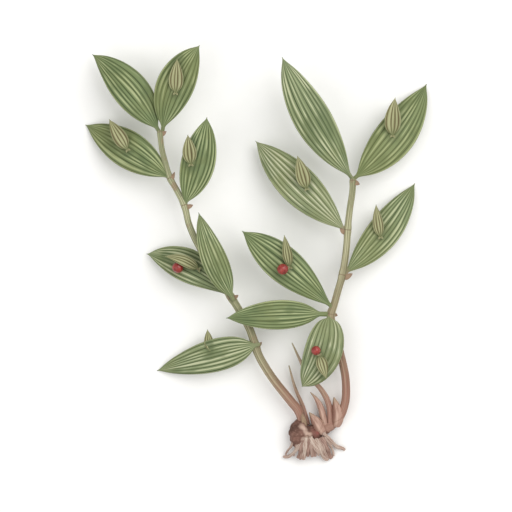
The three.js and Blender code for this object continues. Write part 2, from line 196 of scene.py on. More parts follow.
def read_back(mesh):
    """A mesh's corners in metres, and the corners of its triangles, as arrays of three columns."""
    mesh.calc_loop_triangles()
    corners = np.empty(len(mesh.vertices) * 3)
    mesh.vertices.foreach_get("co", corners)
    triangles = np.empty(len(mesh.loop_triangles) * 3, int)
    mesh.loop_triangles.foreach_get("vertices", triangles)
    return corners.reshape(-1, 3), triangles.reshape(-1, 3)


def signed_volume(mesh):
    """The volume inside, in cubic millimetres: a sixth of the sum of a . (b x c), over the
    triangles with corners a, b and c."""
    corners, triangles = read_back(mesh)
    a, b, c = (corners / MM)[triangles].transpose(1, 0, 2)
    return float((a * np.cross(b, c)).sum() / 6)


def tag(mesh, name, values):
    """A number at every corner for the finishes to read."""
    attribute = mesh.attributes.new(name, "FLOAT", "POINT")
    attribute.data.foreach_set("value", np.broadcast_to(values, len(mesh.vertices)).astype(float))


def add_piece(mesh, finish, slot, *nodes):
    """Puts a mesh in the scene with its finish, to stand for the solids that are named."""
    piece = bpy.data.objects.new(mesh.name, mesh)
    bpy.context.scene.collection.objects.link(piece)
    mesh.materials.append(finish)
    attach(piece, "root")
    if nodes:
        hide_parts(*nodes)
    volume = signed_volume(mesh)
    if volume <= 0:
        raise ValueError(f"{mesh.name} is inside out")
    TOTALS["pieces"] += 1
    TOTALS["triangles"] += len(mesh.loop_triangles)


trial = skin("trial", rod(through([(0, 0, 0), (10, 0, 0)], 2), lambda s, angle: 1))
print("a rod 10 mm long and 2 mm thick holds", round(signed_volume(trial), 1), "cubic mm")
bpy.data.meshes.remove(trial)

# %% [markdown]
# ## Writing finishes as sums
#
# A living surface is a sum of patterns: stripes, plus noise, times a mask. A small class wraps a
# node's socket so that Python's own signs build the nodes. Numbers go through Math nodes and
# colours through Mix nodes, because a Math node would turn a colour grey.

# %% Sockets that can be added up
def linear(code):
    """A colour as painters write it, #rrggbb, as the light values that the shader wants."""
    parts = [int(code[k:k + 2], 16) / 255 for k in (1, 3, 5)]
    return (*[c / 12.92 if c <= 0.04045 else ((c + 0.055) / 1.055) ** 2.4 for c in parts], 1.0)


class Wire:
    """One output socket. Sums on it add Math nodes to its finish."""

    def __init__(self, finish, socket):
        self.finish = finish
        self.socket = socket

    def maths(self, operation, *values):
        return self.finish.node("Math", {"operation": operation}, dict(enumerate(values)))

    def __add__(self, other):
        return self.maths("ADD", self, other)

    def __mul__(self, other):
        return self.maths("MULTIPLY", self, other)

    def __sub__(self, other):
        return self.maths("SUBTRACT", self, other)

    def __rsub__(self, other):
        return self.maths("SUBTRACT", other, self)

    __radd__, __rmul__ = __add__, __mul__

    def __abs__(self):
        return self.maths("ABSOLUTE", self)

    def cosine(self):
        return self.maths("COSINE", self)

    def between(self, low, high, to_low=0.0, to_high=1.0):
        """Rises smoothly from to_low to to_high while this goes from low to high."""
        sockets = {"Value": self, "From Min": low, "From Max": high,
                   "To Min": to_low, "To Max": to_high}
        return self.finish.node("MapRange", {"interpolation_type": "SMOOTHSTEP"}, sockets)


class Finish:
    """A material whose nodes are made one by one."""

    def __init__(self, name, **constants):
        self.material = bpy.data.materials.new(name)
        self.material.use_nodes = True
        self.tree = self.material.node_tree
        self.shader = self.tree.nodes["Principled BSDF"]
        for socket, value in constants.items():
            self.shader.inputs[socket.replace("_", " ")].default_value = value

    def node(self, kind, settings=None, inputs=None, output=0):
        """Any shader node: its settings are set first, then its sockets' values or links."""
        made = self.tree.nodes.new("ShaderNode" + kind)
        for key, value in (settings or {}).items():
            if key == "stops":
                ramp = made.color_ramp
                for place, colour in value[1:-1]:
                    ramp.elements.new(place).color = linear(colour)
                for end, (place, colour) in ((0, value[0]), (-1, value[-1])):
                    ramp.elements[end].position = place
                    ramp.elements[end].color = linear(colour)
            else:
                setattr(made, key, value)
        for key, value in (inputs or {}).items():
            socket = made.inputs[key]
            if isinstance(value, Wire):
                self.tree.links.new(value.socket, socket)
            else:
                socket.default_value = value
        return Wire(self, made.outputs[output])

    def attribute(self, name):
        return self.node("Attribute", {"attribute_name": name}, output="Fac")

    def uv(self):
        """How far across and how far along this corner is."""
        pair = self.node("UVMap", {"uv_map": "UVMap"})
        split = self.node("SeparateXYZ", {}, {0: pair})
        return split, Wire(self, split.socket.node.outputs[1])

    def place(self):
        return self.node("TexCoord", {}, output="Object")

    def vector(self, x, y, z):
        return self.node("CombineXYZ", {}, {0: x, 1: y, 2: z})

    def noise(self, vector, scale, detail=3.0, roughness=0.55, distortion=0.0):
        sockets = {"Vector": vector, "Scale": scale, "Detail": detail,
                   "Roughness": roughness, "Distortion": distortion}
        return self.node("TexNoise", {}, sockets)

    def lengthwise(self, angle, fineness, along):
        """Streaks along a rod: the noise is read round a circle, so that it has no seam."""
        turn = self.vector(angle.cosine() * fineness, (angle + math.pi / 2).cosine() * fineness,
                           along)
        return self.noise(turn, 1.0, 4)

    def mix(self, share, first, second):
        """A colour that goes from first to second as share goes from 0 to 1."""
        first, second = (linear(c) if isinstance(c, str) else c for c in (first, second))
        settings = {"data_type": "RGBA", "clamp_factor": True}
        return self.node("Mix", settings, {0: share, 6: first, 7: second}, output=2)

    def coats(self, colour, *coats):
        """Coats of paint: each is its share and its colour, and lies over those before it."""
        for share, coat in coats:
            colour = self.mix(share, colour, coat)
        return colour

    def ramp(self, share, stops):
        return self.node("ValToRGB", {"stops": stops}, {0: share})

    def wear(self, colour, rough, height=None, distance=0.0, strength=0.0):
        """Joins the patterns to the shader, and hands the material back. The height pattern
        becomes a bump, which stands distance metres proud where it is 1."""
        wires = {"Base Color": colour, "Roughness": rough}
        if height is not None:
            sockets = {"Height": height, "Distance": distance, "Strength": strength}
            wires["Normal"] = self.node("Bump", {}, sockets)
        for name, wire in wires.items():
            self.tree.links.new(wire.socket, self.shader.inputs[name])
        return self.material


print("the light of a mid grey:", round(linear("#808080")[0], 3))

# %% [markdown]
# ## The blade's skin
#
# A cladode is leathery, with eight ribs that run from stalk to tip. Each rib is a pale band, and
# a thin dark line of painted shade lies in the valley beside it, with a broader painted shade on
# one side of each rib and the painted shadow of each vein as a broken dark line. The band and the
# line fade and thicken along the way, as a brush stroke does. The green is cooler at both ends,
# yellower in the middle, and the very edge is a thin pale line with a reddish hairline outside
# it. Beside a tongue, painted shade darkens the blade. All of that follows the blade's own shape,
# so it reads the UV map: across is 0 at the right margin and 1 at the left, along runs from stalk
# to tip. A tag named rib says where in its wave of ribs each corner is, so that the painted ribs
# lie on the pleats. Growth, from 0 to 1, makes each blade a little different. Coats of colour lie
# one over the other, as in a painting.

# %% Blade finish
RIBS = 8


def blade_skin():
    f = Finish("blade_skin", Specular_IOR_Level=0.22)
    across, along = f.uv()
    growth, faded = f.attribute("growth"), f.attribute("faded")
    streak = f.noise(f.vector(across * 40, along * 3.0, growth * 31), 1.0, 3.0)
    broad = f.noise(f.vector(across * 9, along * 1.8, growth * 17 + 5), 1.0, 2.0)
    wash = f.noise(f.vector(across * 2.4, along * 3.2, growth * 43 + 9), 1.0, 2.0)
    reddish = f.noise(f.vector(across * 3, along * 9, growth * 53), 1.0, 1.0).between(0.42, 0.62)
    grain = f.noise(f.place(), 900, 4)
    patch = f.noise(f.place(), 34, 3, distortion=0.6)
    ragged, uneven = streak - 0.5, broad - 0.5

    phase = f.attribute("rib") + (uneven * 0.8 + ragged * 0.3)
    rib = abs(phase.cosine())
    fine = (phase * 3 + streak * 5).cosine() * 0.5 + 0.5
    band = (rib + ragged * 0.8).between(0.1, 1.0)
    # painted shade: a dark line in the valley between two ribs
    line = (rib + ragged * 0.3 + uneven * 0.3).between(0.06, 0.3, 1.0, 0.0)
    # painted shade on one side of each rib
    beside = (abs((phase + 0.62).cosine()) + uneven * 1.2).between(0.9, 1.05)
    pale = (rib + ragged * 0.6 + uneven * 1.5).between(0.82, 1.04)
    # painted shadow of each vein: a thin, broken dark line in the valley
    painted_vein_shadow = (rib + ragged * 0.2).between(0.16, 0.02) * (broad + streak * 0.4).between(0.35, 0.8)
    painted_tongue_shade = (f.attribute("shelter") + uneven * 0.7).between(0.3, 0.85)
    outward, endward = abs(across * 2 - 1), abs(along * 2 - 1)
    colour = f.coats(
        f.mix(band, "#5b6a43", "#7a885f"),
        (fine * 0.28, "#64723f"),
        (faded * 0.34, "#a3a888"),
        # painted shade in the valleys between the ribs
        (line * 0.95, "#323d21"),
        # painted shade on one side of each rib
        (beside * 0.5, "#47552f"),
        (pale * wash.between(0.48, 0.66, 1.0, 0.45) * 0.9, f.mix(faded, "#a8b083", "#ccccae")),
        (wash.between(0.48, 0.68) * 0.48, "#4f5f3a"),
        # painted shade on the blade beside its tongue
        (painted_tongue_shade * 0.55, "#48583a"),  # in the tongue's shade
        ((patch + growth * 0.3).between(0.46, 0.9) * 0.35, "#80824f"),
        (endward.between(0.6, 1.0) * 0.14, "#55693f"),
        # painted shadow of each vein
        (painted_vein_shadow * 0.8, "#2f3a22"),
        (outward.between(0.93, 0.975) * 0.55, "#9fa67c"),  # the pale rim
        (outward.between(0.978, 0.995) * 0.75, f.mix(reddish, "#4d5934", "#7d5d4b")),
        (along.between(0.0, 0.09, 1.0, 0.0) * (f.attribute("blush") * 0.7 + 0.1), "#b08a7c"),
        (f.attribute("upper").between(0.2, 0.8, 0.45, 0.0), "#8f9a76"))  # the underside
    rough = streak * 0.16 + grain * 0.1 + 0.42
    return f.wear(colour, rough, fine * 0.3 + grain * 0.35 + streak * 0.35, 0.22 * MM, 0.7)


BLADE_SKIN = blade_skin()
print("blade skin nodes:", len(BLADE_SKIN.node_tree.nodes))

# %% [markdown]
# The tongue is thinner and paler than the blade that carries it: straw-green bands with thin
# pinkish-brown veins between them.

# %% Tongue finish
TONGUE_RIBS = 4


def tongue_skin():
    f = Finish("tongue_skin", Specular_IOR_Level=0.2)
    across, along = f.uv()
    growth = f.attribute("growth")
    streak = f.noise(f.vector(across * 22, along * 2.6, growth * 29), 1.0, 2.0)
    ragged = streak - 0.5
    rib = abs((f.attribute("rib") + ragged * 0.5).cosine())
    vein = (rib + ragged * 0.3).between(0.05, 0.42, 1.0, 0.0)
    colour = f.coats(
        f.mix((rib + ragged * 0.6).between(0.15, 0.9), "#6a6843", "#94946c"),
        (vein * 0.85, f.mix(growth, "#4d4a2e", "#634d39")),
        ((rib + streak * 0.6).between(1.02, 1.4) * 0.75, "#b3b38b"),
        (along.between(0.0, 0.26, 0.6, 0.0), "#5f6b42"),
        (abs(across * 2 - 1).between(0.86, 1.0) * 0.5, "#5a633d"))
    height = streak * 0.6 + f.noise(f.place(), 1100, 3) * 0.4
    return f.wear(colour, streak * 0.12 + 0.46, height, 0.18 * MM, 0.6)


TONGUE_SKIN = tongue_skin()
print("tongue skin nodes:", len(TONGUE_SKIN.node_tree.nodes))

# %% [markdown]
# ## The blade's shape
#
# A blade's midline is a curve from foot to tip whose middle is swung to one side and lifted. Its
# outline is a pointed oval over a thin stalk. Across it, the margins turn up or down, ripple a
# little, and the ribs stand up as pleats: rounded on top, with a sharp valley between them.
# A flat plane with a leaf picture on it would be simpler, but from the side the blade must have
# its arch, its pleats and its own thin edge, so it is a closed skin.

# %% Blade formulas
TIP_POINT = 22  # the higher, the shorter the drawn-out point at the tip; foot_point likewise
TIP_WIDTH = 0.5
STALK_FADE = 14  # the higher, the sooner the round stalk gives way to the flat blade
RIPPLES = 11  # of the margins, in radians from foot to tip
PLEAT_POWER = 0.8  # below 1, a pleat is round on top and its valley sharp
TABLE_GAP = 0.05
BLADE = {"neck": 0.0, "fullness": 0.78, "foot_point": 20, "stalk": 3.4, "pleats": RIBS,
         "pleat": 0.3, "thick": 0.75, "thin": 0.34, "round": 2.3, "root": 3.4}


def half_width(spec, s):
    """Half of: width times a power of the sine of the way along, which is turned so that it
    peaks at widest and drawn in at both ends, joined as a right triangle's long side to half of
    a stalk that thins to the tip."""
    along = np.maximum(s - spec["neck"], 0) / (1 - spec["neck"])
    turn = along ** (math.log(0.5) / math.log(spec["widest"]))
    oval = np.maximum(np.sin(np.pi * turn), 0) ** spec["fullness"]
    ends = (1 - along**TIP_POINT) * (1 - (1 - along) ** spec["foot_point"])
    stalk = spec["stalk"] + (TIP_WIDTH - spec["stalk"]) * np.maximum(s, 0)
    return np.hypot(spec["width"] / 2 * oval * ends, stalk / 2)


def rib_phase(spec, s, u):
    """How far through its waves of ribs a place is: pleats pi u / 2, pushed to and fro by two
    slow sines, so that no two ribs are the same width."""
    seed = 9 * spec.get("growth", 0.5)
    uneven = 0.5 * np.sin(3.7 * u + 2.3 * seed) + 0.34 * np.sin(8.3 * u - 1.7 * seed + 1.2 * s)
    return spec["pleats"] * (np.pi * u / 2 + uneven / RIBS)


def blade_middle(spec, s, u):
    """The middle sheet at s along and u across: its place and its upward normal.

    place = midline(s) + u half left + (cup half + ripple) u^2 normal + pleat normal, where the
    pleat is a power of |cos| of the ribs' phase, and left and normal are rolled about the
    midline.
    """
    foot, tip = np.array(spec["foot"], float), np.array(spec["tip"], float)
    aside = unit(np.cross(UP, tip - foot))
    pull = (foot + tip) / 2 + 2 * spec["bow"] * aside + 2 * spec["rise"] * UP
    t = s[..., None]
    line = (1 - t) ** 2 * foot + 2 * t * (1 - t) * pull + t**2 * tip
    forward = unit((1 - t) * (pull - foot) + t * (tip - pull))
    left = unit(np.cross(UP, forward))
    normal = np.cross(forward, left)
    start, end = spec.get("roll", (0, 0))
    roll = np.radians(start + (end - start) * s)[..., None]
    left, normal = (left * np.cos(roll) + normal * np.sin(roll),
                    normal * np.cos(roll) - left * np.sin(roll))
    half = half_width(spec, s)
    share = half / (spec["width"] / 2)
    ripple = spec["wave"] * np.sin(RIPPLES * s + np.where(u > 0, 1.1, 2.9))
    pleat = 2 * np.abs(np.cos(rib_phase(spec, s, u))) ** PLEAT_POWER - 1
    pleat *= 0.8 + 0.2 * np.sin(5.1 * u + 20 * spec.get("growth", 0.5))
    lift = (spec["cup"] * half + ripple * share) * u**2 + 0.5 * spec["pleat"] * pleat * share
    return line + left * (u * half)[..., None] + normal * lift[..., None], normal


def blade_rings(spec, rows, columns):
    """Closed rings round the middle sheet: over it from the left margin to the right one, and
    back under it. The gap between the two sheets closes at the margins as a long ellipse does.
    The first rings lie before the foot, so that the stalk is grown into what carries it."""
    sweep_across = 1 - 2 * np.arange(columns) / columns
    u_ring = np.r_[sweep_across, -sweep_across]
    face = np.r_[np.ones(columns), -np.ones(columns)]
    length = np.linalg.norm(np.subtract(spec["tip"], spec["foot"]))
    s, u = np.meshgrid(np.linspace(-spec["root"] / length, 1, rows), u_ring, indexing="ij")
    middle, normal = blade_middle(spec, s, u)
    flat = spec["thick"] + (spec["thin"] - spec["thick"]) * np.abs(u)
    stalk = spec["round"] * np.sqrt(1 - 0.85 * u**2)
    thickness = flat + (stalk - flat) * np.clip(1 - s, 0, 1) ** STALK_FADE
    thickness *= np.sqrt(1 - np.abs(u) ** 16) * np.minimum(1, (1 - s) * 30 + 0.4)
    middle[..., 2] = np.maximum(middle[..., 2], thickness / 2 + TABLE_GAP)
    rings = middle + normal * (face * thickness / 2)[..., None]
    return rings, (u_ring + 1) / 2, np.tile((face + 1) / 2, rows), rib_phase(spec, s, u).ravel()


print("a blade is", BLADE["thick"], "mm thick and has", BLADE["pleats"], "ribs")

# %% [markdown]
# ## The fourteen blades
#
# Each blade starts on its stem and has its own width, bow, rise and tilt, read off the way the
# plant lies. A tongue's numbers are the place of its foot along and across its blade, its tip,
# its rise, its width and its bow. Blush is how pink a blade's foot is, and faded how pale its
# green.

# %% Blade numbers
def blade(name, foot, tip, width, widest, bow, rise, cup, roll, wave, **more):
    return {**BLADE, "name": name, "foot": foot, "tip": tip, "width": width, "widest": widest,
            "bow": bow, "rise": rise, "cup": cup, "roll": roll, "wave": wave, **more}


BLADES = [
    blade("left_1", (-83.5, 106.5, 26.5), (-139.5, 170.5, 16), 31, 0.46, -4.5, 11, -0.14,
          (8, -10), 0.8),
    blade("left_2", (-79, 107, 26.5), (-47.5, 176.5, 44), 32, 0.5, 5, 4, 0.16, (-6, 8), 0.9,
          tongue=(0.414, -0.17, (-66.5, 165, 46), 2, 12.5, 0)),
    blade("left_3", (-74, 65.5, 26.5), (-146, 111, 0.4), 32, 0.5, -1.5, 8, -0.14, (-6, 0), 0.9,
          tongue=(0.5, 0.02, (-125, 115, 20), 3, 12.5, 0)),
    blade("left_4", (-60, 43.5, 26.5), (-41.5, 116, 38), 29, 0.48, -2.4, 5, 0.14, (4, -8), 0.8,
          tongue=(0.442, 0.4, (-57.6, 101, 43), 2, 12, 0)),
    blade("left_5", (-20.5, -36, 27), (-48.5, 35.5, 38), 22, 0.42, 2.2, 7, -0.12, (0, 8), 0.8,
          faded=0.2),
    blade("left_6", (-23.5, -34.5, 20.5), (-93.5, 0.5, 5), 28.8, 0.54, -7.2, 7, -0.1, (4, 6), 0.8,
          tongue=(0.416, -0.1, (-77.4, -1.5, 24), 5, 9.5, -2.4), faded=0.5),
    blade("left_7", (0.4, -77, 21.5), (-84.8, -99.5, 0.4), 28, 0.4, -0.5, 6, -0.14, (0, 4), 1,
          tongue=(0.45, -0.35, (-41.5, -64, 12), 0.5, 8, 0), faded=0.5),
    blade("right_1", (80.5, 66, 26), (22, 167, 38), 32, 0.5, 4, 10, -0.14, (-6, 8), 1,
          faded=0.5),
    blade("right_2", (84.5, 65.5, 24.5), (146, 146, 0.4), 34, 0.48, -5.6, 9, -0.14, (0, 2), 1,
          tongue=(0.47, 0.125, (118, 133, 29), 3, 14, 0.9)),
    blade("right_3", (76.3, -15.2, 22), (136, 61, 0.4), 28, 0.5, -4.2, 7, -0.12, (0, 0), 0.8,
          tongue=(0.434, -0.035, (102, 42.5, 24), 2, 9.2, 0.6), blush=1.0, faded=0.3),
    blade("right_4", (64, -44, 20.5), (-12, 20, 30), 31, 0.55, -1, 8, -0.12, (4, -6), 0.8,
          tongue=(0.49, -0.105, (23.8, 16.5, 42), 2, 8.5, 0)),
    blade("right_5", (62, -50.7, 18.5), (-25.5, -54, 28.5), 25, 0.44, -1.2, 6, -0.1, (0, 0), 0.6,
          neck=0.07, stalk=4.4),
    blade("right_6", (62, -53.8, 20.5), (39, -112.5, 20), 32.5, 0.42, 6, 9, -0.12, (-8, 0), 0.8,
          tongue=(0.52, -0.12, (59.5, -105, 33), 2, 10, 0), fullness=0.5, foot_point=80, faded=0.8),
    blade("right_7", (75.6, 20.8, 24.5), (-0.5, 97, 10), 33, 0.52, 1, 10, -0.12, (0, 6), 1,
          tongue=(0.446, -0.165, (35, 83.5, 36), 2, 12.5, 0), blush=1.0, faded=1.0),
]
print(sum("tongue" in spec for spec in BLADES), "of", len(BLADES), "blades carry a tongue")

# %% [markdown]
# Every blade and every tongue takes the same two steps: rings, then skin. The tags tell the
# finish where the ribs run, which side is up, whether the foot is pink, how faded the green is,
# and where painted shade darkens a blade beside its tongue.

# %% Make the blades and tongues
BLADE_ROWS, BLADE_COLUMNS = 112, 80
TONGUE_ROWS, TONGUE_COLUMNS = 56, 32
# the reach of the painted shade beside a tongue
PAINTED_SHADE_REACH = 0.62  # how far a tongue darkens its blade, as a share of the tongue's width
chance = np.random.default_rng(7)
growths = chance.permutation(np.linspace(0.05, 0.95, len(BLADES)))


def tongue_of(spec):
    """The numbers of the tongue that stands on a blade: its own, and those of every tongue."""
    along, across, tip, rise, width, bow = spec["tongue"]
    foot, _ = blade_middle(spec, np.array([along]), np.array([across]))
    return {**BLADE, "foot": tuple(foot[0]), "tip": tip, "width": width, "widest": 0.38,
            "fullness": 0.95, "stalk": 0.2 * width, "bow": bow, "rise": rise, "cup": 0.2,
            "wave": 0.3, "pleats": TONGUE_RIBS, "pleat": 0.45, "thick": 0.55, "thin": 0.3,
            "round": 0.9, "root": 0.3}


def from_line(places, start, end):
    """How far each place is from a straight line, seen from above: its distance from
    start + share (end - start), where share, from 0 to 1, is the nearest place on the line."""
    level = np.array((1, 1, 0))
    along, offset = (end - start) * level, (places - start) * level
    share = np.clip(offset @ along / (along @ along), 0, 1)[..., None]
    return np.linalg.norm(offset - share * along, axis=-1)


def leaf_mesh(name, spec, rows, columns, growth):
    """The skin of a blade, tongue or bract, with its tags."""
    rings, across, upper, rib = blade_rings({**spec, "growth": growth}, rows, columns)
    # painted shade on the blade beside its tongue: strongest along the tongue seen from above, none
    # elsewhere
    shelter = 0 * rib
    if "tongue" in spec:
        tongue = tongue_of(spec)
        apart = from_line(rings, np.array(tongue["foot"]), np.array(tongue["tip"]))
        shelter = np.exp(-((apart / (PAINTED_SHADE_REACH * tongue["width"])) ** 2)).ravel()
    mesh = skin(name, rings, across)
    tag(mesh, "upper", np.r_[upper, 0.5, 0.5])
    tag(mesh, "rib", np.r_[rib, 0, 0])
    tag(mesh, "shelter", np.r_[shelter, 0, 0])
    tag(mesh, "growth", growth)
    for key in ("blush", "faded"):
        tag(mesh, key, spec.get(key, 0.0))
    return mesh


tongues = {}
for spec, growth in zip(BLADES, growths):
    name = spec["name"]
    mesh = leaf_mesh(f"cladode_skin_{name}", spec, BLADE_ROWS, BLADE_COLUMNS, growth)
    add_piece(mesh, BLADE_SKIN, "blade", f"cladode_{name}")
    if "tongue" in spec:
        tongues[name] = tongue_of(spec)
        mesh = leaf_mesh(f"tongue_{name}", tongues[name], TONGUE_ROWS, TONGUE_COLUMNS, growth)
        add_piece(mesh, TONGUE_SKIN, "blade", f"cladode_{name}")
print("blades", len(BLADES), "tongues", len(tongues), TOTALS)

# %% [markdown]
# ## Stems
#
# A stem is a ridged rod that swells where blades spring from it. Its skin goes from a pinkish
# brown near the rhizome to olive at the top, with lengthwise streaks, and a dark ring marks each
# joint. The finish reads two tags: height rises from 0 at the rhizome, faster on the stem that
# greens sooner, and ring is 1 at a joint. The UV map carries the streaks.

# %% Stem finish
def stem_skin(name, low, middle, high, streak_colour):
    f = Finish(name, Specular_IOR_Level=0.3)
    around, along = f.uv()
    height, ring = f.attribute("height"), f.attribute("ring")
    angle = around * (2 * math.pi)
    streak = f.lengthwise(angle, 3.4, along * 4)
    fine = f.noise(f.place(), 700, 4)
    blotch = f.noise(f.place(), 90, 3)
    greened = height + (blotch - 0.5) * 0.4
    colour = f.coats(
        f.ramp(greened, [(0.0, low), (0.16, low), (0.5, middle), (1.0, high)]),
        (streak.between(0.5, 0.62) * 0.85,
         f.mix(height.between(0.05, 0.5), "#b18c7d", streak_colour)),
        (streak.between(0.48, 0.36) * 0.7, f.mix(height.between(0.1, 0.5), "#78503f", "#5f5f42")),
        # painted shade in the grooves between the ridges
        ((angle * 6).cosine().between(-0.2, -1.0) * 0.35, "#665a44"),  # between the ridges
        (blotch.between(0.56, 0.72) * 0.45, "#8f6655"),
        (ring.between(0.55, 0.95) * 0.7, "#6a4f3a"),
        (fine.between(0.62, 0.78) * 0.3, "#5e5036"))
    rough = streak * 0.2 + fine * 0.1 + 0.42
    return f.wear(colour, rough, streak * 0.6 + fine * 0.4, 0.3 * MM, 0.7)


STEM_SKIN = stem_skin("stem_skin", "#946c5b", "#999070", "#898e6a", "#c2bf9b")
SHOOT_SKIN = stem_skin("shoot_skin", "#a97f70", "#ab8975", "#989070", "#cbb3a0")
print("stem skin nodes:", len(STEM_SKIN.node_tree.nodes))

# %% Stem shapes
STEM_ROWS = 620
NODE_REACH, SCAR_REACH = 4, 0.7  # how far along a stem a joint's swelling and its scar go
# Greening is how fast a stem turns green along its way, and nodes are its joints
STEMS = {
    "left": {
        "greening": 2.0, "waist": 0.3, "radii": (3.7, 2.2),
        "points": [
            (39, -147, 9.5), (36, -133, 12), (30.5, -126, 13), (16.4, -108.5, 14.5),
            (8.6, -97, 15.2), (2, -85, 16), (-5.3, -64, 18), (-14.5, -47, 20), (-21, -36.5, 21),
            (-35, -15, 22.5), (-50, 10, 24), (-57, 26, 25), (-61, 42, 25.5), (-67.5, 55, 26),
            (-73, 65, 26), (-77, 78, 26), (-80, 90, 26), (-81.6, 105.8, 26)],
        "nodes": [(-0.2, -77.5, 16.7), (-21, -36.5, 21), (-61, 42, 25.5), (-73, 65, 26),
                  (-81.5, 104, 26)],
    },
    "right": {
        "greening": 0.95, "waist": 0.0, "radii": (3.4, 2.5),
        "points": [
            (70.2, -141.2, 10), (72.2, -137.5, 10.6), (74.2, -133, 11.3), (76.4, -124, 12.6),
            (76.8, -115, 13.3), (75.8, -102, 14.2), (70, -77, 15.5), (66.5, -64, 16.5),
            (63.7, -52, 18), (66.4, -43, 19), (69.9, -30, 20.5), (73.6, -17, 22),
            (76.6, 4, 23.5), (77.8, 21, 24.5), (79.6, 38, 25), (81.9, 54, 25), (82.5, 64.6, 25)],
        "nodes": [(63.6, -50.5, 18.2), (73.6, -17, 22), (77.8, 21, 24.5), (82.4, 63, 25)],
    },
}


def closing(s, share):
    """1 along a rod, and a quarter circle down to 0 over the given share at each end."""
    near = np.clip(np.minimum(s, 1 - s) / share, 0, 1)
    return np.sqrt(np.maximum(1 - (1 - near) ** 2, 0.0004))


def node_closeness(line, nodes, reach):
    """For each ring, the sum over the joints of exp(-(distance / reach)^2)."""
    apart = np.linalg.norm(line[:, None] - np.array(nodes, float)[None], axis=2)
    return np.exp(-((apart / reach) ** 2)).sum(1)


def tag_rings(mesh, name, rings, tip=0.0):
    """A number for each ring of a rod. The closing corner at its foot has 0."""
    tag(mesh, name, np.r_[np.repeat(rings, ROD_SIDES), 0, tip])


def stem_mesh(name, points, radii, nodes, greening, waist):
    """radius = (foot to top) (1 + 0.07 cos 6 angle + swelling at joints - a thin scar there),
    and one stem is slimmer just above its foot, by the share called waist."""
    line = through(points, STEM_ROWS)
    swell = node_closeness(line, nodes, NODE_REACH)[:, None]
    scar = node_closeness(line, nodes, SCAR_REACH)[:, None]
    lean = 0.03 * np.sin(np.linspace(0, 23, len(line)))[:, None]

    def radius(s, angle):
        plain = radii[0] + (radii[1] - radii[0]) * s
        ridges = 0.07 * np.cos(6 * angle + 0.8 * s) + lean * np.cos(angle + 9 * s)
        slim = waist * np.exp(-(((s - 0.025) / 0.016) ** 2))
        return plain * (1 + ridges + 0.2 * swell - 0.08 * scar - slim) * closing(s, 0.006)

    mesh = skin(name, rod(line, radius))
    tag_rings(mesh, "height", np.clip(np.linspace(0, 1, STEM_ROWS) * greening, 0, 1), tip=1)
    tag_rings(mesh, "ring", scar[:, 0])
    return mesh


for side, stem in STEMS.items():
    add_piece(stem_mesh(f"stem_skin_{side}", **stem), STEM_SKIN, "stem", f"stem_{side}")
    print(side, "stem", round(length_of(np.array(stem["points"], float))), "mm")

# %% [markdown]
# ## Young shoots
#
# Beside the leafy stems stand two bare shoots that haven't opened yet. Each is a smooth rod that
# keeps its thickness and then comes to a point, with shallow steps where its scales overlap.

# %% Shoots
SHOOT_ROWS, SHOOT_SCALES = 220, 4
SHOOTS = {
    "tall": ((2.8, 0.5), [(64.1, -145.5, 7), (63.2, -133, 9), (60.8, -124, 10), (56, -115.8, 10.6),
                          (51, -110, 11), (44, -102.5, 11.5), (37.5, -90, 12), (30.5, -75, 13)]),
    "short": ((2.0, 0.5), [(44.5, -146, 4.5), (40.5, -131, 4.2), (33.5, -114, 7), (28, -94.5, 9)]),
}


def shoot_mesh(name, radii, points):
    """radius = foot + (top - foot) s^1.6, less a small saw-tooth where each scale ends"""
    def radius(s, angle):
        plain = radii[0] + (radii[1] - radii[0]) * s**1.6
        tooth = (s * SHOOT_SCALES + 0.12 * np.cos(angle)) % 1
        return plain * (1.02 - 0.1 * tooth**3 + 0.02 * np.cos(5 * angle)) * closing(s, 0.02)

    mesh = skin(name, rod(through(points, SHOOT_ROWS), radius))
    s = np.linspace(0, 1, SHOOT_ROWS)
    tag_rings(mesh, "height", s, tip=1)
    tag_rings(mesh, "ring", 0.85 * np.clip(((s * SHOOT_SCALES) % 1 - 0.9) * 10, 0, 1))
    return mesh


for name, shoot in SHOOTS.items():
    add_piece(shoot_mesh(f"shoot_skin_{name}", *shoot), SHOOT_SKIN, "shoot", f"shoot_{name}")
print("shoots", len(SHOOTS))

# %% [markdown]
# ## Papery bracts
#
# Beside most blades' feet sits a small dry scale, thin and pinkish brown, and tinier ones, as
# straw-green as the tongues, sit at the tongues' feet, where the flowers were. They are small
# blades of their own, so the blade's formulas make them too.

# %% Bract finish and bracts
def bract_paper():
    f = Finish("bract_paper", Specular_IOR_Level=0.25)
    across, along = f.uv()
    fibre = f.noise(f.vector(across * 30, along * 2, f.attribute("growth") * 13), 1.0, 3)
    colour = f.coats(
        f.mix(fibre.between(0.3, 0.7), "#836a58", "#ab9478"),
        (along.between(0.55, 1.0) * 0.6, "#75584a"),
        (abs(across * 2 - 1).between(0.75, 1.0) * 0.4, "#a8a07a"))
    return f.wear(colour, fibre * 0.2 + 0.6, fibre, 0.2 * MM, 0.8)


BRACT_PAPER = bract_paper()
BRACT = {**BLADE, "widest": 0.4, "stalk": 2.4, "bow": 0, "rise": 0.8, "cup": 0.3, "wave": 0.1,
         "pleats": 3, "pleat": 0.12, "thick": 0.3, "thin": 0.14, "round": 0.7, "root": 0.5}
